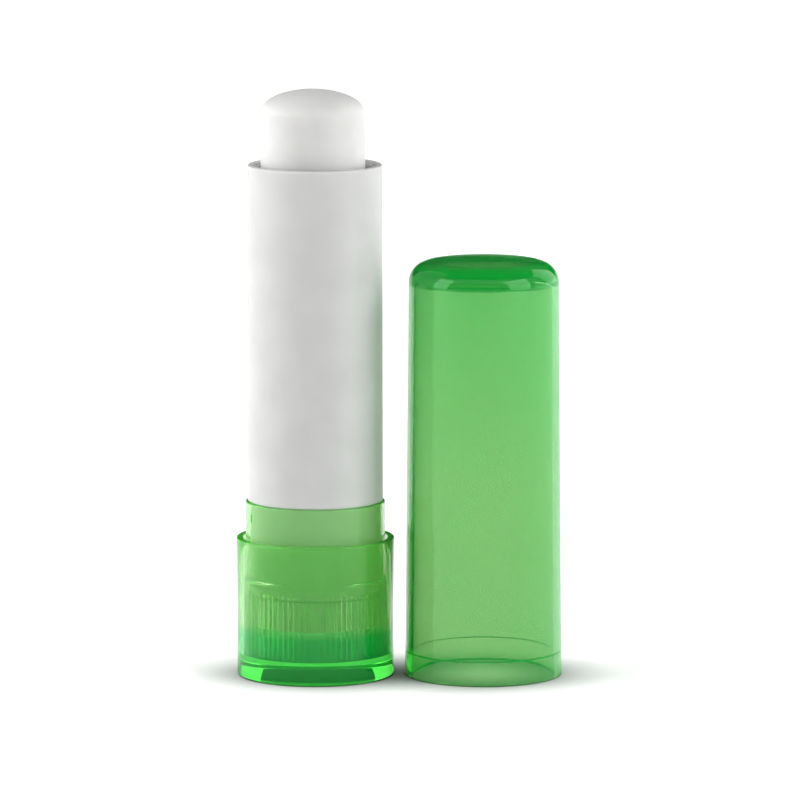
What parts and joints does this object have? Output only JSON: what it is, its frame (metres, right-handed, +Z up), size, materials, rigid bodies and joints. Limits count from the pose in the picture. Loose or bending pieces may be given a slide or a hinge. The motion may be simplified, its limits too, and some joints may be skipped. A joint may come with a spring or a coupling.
{
  "type": "lip balm stick",
  "caption": "Twist-up lip balm stick with a white barrel on a clear green ribbed base, partly wound out, and its clear green cap standing beside it.",
  "frame": {"origin": "centre of the base cup's flat underside, on the stick's axis", "axes": "+Z up along the stick's axis, +X towards the cap that stands beside it, -Y towards the viewer of the picture"},
  "size_m": [0.0393, 0.019, 0.0709],
  "materials": {
    "clear_green_styrenic": "polished clear tinted moulding",
    "white_polypropylene": "satin moulded",
    "white_inner_polypropylene": "satin moulded",
    "balm_wax": "soft waxy sheen"
  },
  "bodies": {
    "base": {"base_cup": "clear_green_styrenic", "ribbed_collar": "clear_green_styrenic", "slotted_sleeve": "white_inner_polypropylene"},
    "barrel": {"barrel": "white_polypropylene"},
    "bullet": {"bullet_cup": "white_inner_polypropylene", "balm": "balm_wax"},
    "cap": {"cap": "clear_green_styrenic"}
  },
  "joints": [
    {"name": "base_twist", "type": "hinge", "parent": "base", "child": "barrel", "pos_m": [0, 0, 0.0212], "axis": [0, 0, 1], "range_deg": [-600, 290]},
    {"name": "bullet_rise", "type": "slide", "parent": "base", "child": "bullet", "axis": [0, 0, 1], "range_m": [-0.0098, 0.0202]},
    {"name": "cap_lift", "type": "slide", "parent": "base", "child": "cap", "axis": [0, 0, 1], "range_m": [0, 0.075]}
  ],
  "couplings": [
    {"joint": "bullet_rise", "follows": "base_twist", "m_per_rad": -0.0019099}
  ]
}
